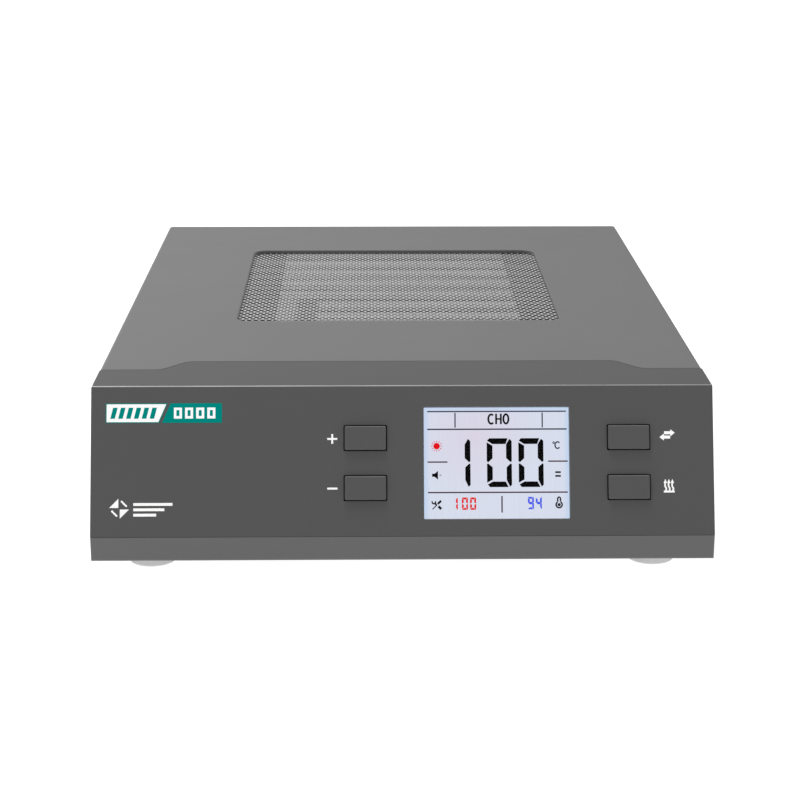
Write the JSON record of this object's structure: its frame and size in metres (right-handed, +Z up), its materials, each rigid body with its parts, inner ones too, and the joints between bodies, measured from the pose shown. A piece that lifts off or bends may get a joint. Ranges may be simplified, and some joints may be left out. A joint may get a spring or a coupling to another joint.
{
  "type": "infrared preheating station",
  "caption": "Low benchtop infrared preheater: flat case with a perforated heater window in the top, sloped front with display and push buttons, rear mains inlet.",
  "frame": {"origin": "centre of the footprint, on the surface the feet stand on", "axes": "+Z up, +Y to the rear, +X to the operator's right; the control face looks along -Y"},
  "size_m": [0.2486, 0.3358, 0.0739],
  "materials": {
    "grey_powder_coat": "fine satin powder coat",
    "grey_abs": "fine textured moulding",
    "button_plastic": "smooth matte moulding",
    "zinc_plated_sheet": "zinc plated",
    "grey_rubber": "matte",
    "bright_stainless": "bright rolled",
    "polished_reflector": "polished",
    "ceramic_fibre": "matte fibre",
    "milky_quartz": "satin, translucent",
    "nickel": "drawn",
    "ceramic": "unglazed ceramic",
    "dark_steel": "heat-resistant black",
    "black_plastic": "fine matte",
    "rocker_plastic": "smooth",
    "white_plastic": "matte",
    "green_plastic": "matte",
    "circuit_board": "solder mask",
    "clear_lens": "clear, polished",
    "display": "backlit",
    "brass": "plated",
    "transformer_iron": "varnished laminations",
    "black_aluminium": "black anodised",
    "steel_screws": "zinc plated",
    "red_insulation": "matte",
    "green_insulation": "matte",
    "white_insulation": "woven glass sleeve",
    "grey_insulation": "matte",
    "fuse_glass": "clear"
  },
  "bodies": {
    "case": {"top_cover": "grey_powder_coat", "base_pan": "grey_powder_coat", "rear_panel": "grey_powder_coat", "front_bezel": "grey_abs", "foot_front_left": "grey_rubber", "foot_front_right": "grey_rubber", "foot_rear_left": "grey_rubber", "foot_rear_right": "grey_rubber", "guard_mesh": "bright_stainless", "guard_frame": "bright_stainless", "reflector_tray": "polished_reflector", "insulation_blanket": "ceramic_fibre", "heat_shield": "zinc_plated_sheet", "heater_tube_1": "milky_quartz", "heater_tube_2": "milky_quartz", "heater_tube_3": "milky_quartz", "heater_tube_4": "milky_quartz", "heater_tube_5": "milky_quartz", "heater_tube_6": "milky_quartz", "heater_tube_7": "milky_quartz", "heating_coils": "nickel", "tube_end_caps": "ceramic", "bus_bars": "nickel", "tube_bracket_left": "dark_steel", "tube_bracket_right": "dark_steel", "thermocouple_probe": "bright_stainless", "probe_strap": "dark_steel", "tact_switches": "black_plastic", "control_board": "circuit_board", "display_lens": "clear_lens", "lcd_panel": "display", "lcd_module": "white_plastic", "buzzer": "black_plastic", "spacers": "brass", "power_board": "circuit_board", "transformer": "transformer_iron", "heatsink": "black_aluminium", "triac": "black_plastic", "terminal_block": "green_plastic", "inlet_housing": "black_plastic", "inlet_pins": "brass", "rocker_housing": "black_plastic", "machine_screws": "steel_screws", "cover_screws": "steel_screws", "mains_leads": "red_insulation", "earth_lead": "green_insulation", "heater_leads": "white_insulation", "ribbon_cable": "grey_insulation"},
    "plus_key": {"button_plus": "button_plastic", "plunger_plus": "black_plastic"},
    "minus_key": {"button_minus": "button_plastic", "plunger_minus": "black_plastic"},
    "swap_key": {"button_swap": "button_plastic", "plunger_swap": "black_plastic"},
    "heat_key": {"button_heat": "button_plastic", "plunger_heat": "black_plastic"},
    "fuse_holder": {"fuse_drawer": "black_plastic", "fuse": "fuse_glass"},
    "rocker": {"power_rocker": "rocker_plastic"}
  },
  "joints": [
    {"name": "plus_press", "type": "slide", "parent": "case", "child": "plus_key", "axis": [0, 0.9315, -0.3637], "range_m": [0, 0.0007], "stiffness_N_per_m": 400},
    {"name": "minus_press", "type": "slide", "parent": "case", "child": "minus_key", "axis": [0, 0.9315, -0.3637], "range_m": [0, 0.0007], "stiffness_N_per_m": 400},
    {"name": "swap_press", "type": "slide", "parent": "case", "child": "swap_key", "axis": [0, 0.9315, -0.3637], "range_m": [0, 0.0007], "stiffness_N_per_m": 400},
    {"name": "heat_press", "type": "slide", "parent": "case", "child": "heat_key", "axis": [0, 0.9315, -0.3637], "range_m": [0, 0.0007], "stiffness_N_per_m": 400},
    {"name": "fuse_drawer_slide", "type": "slide", "parent": "case", "child": "fuse_holder", "axis": [0, 1, 0], "range_m": [0, 0.016]},
    {"name": "rocker_tilt", "type": "hinge", "parent": "case", "child": "rocker", "pos_m": [0.04, 0.16218, 0.04], "axis": [1, 0, 0], "range_deg": [0, 20]}
  ]
}
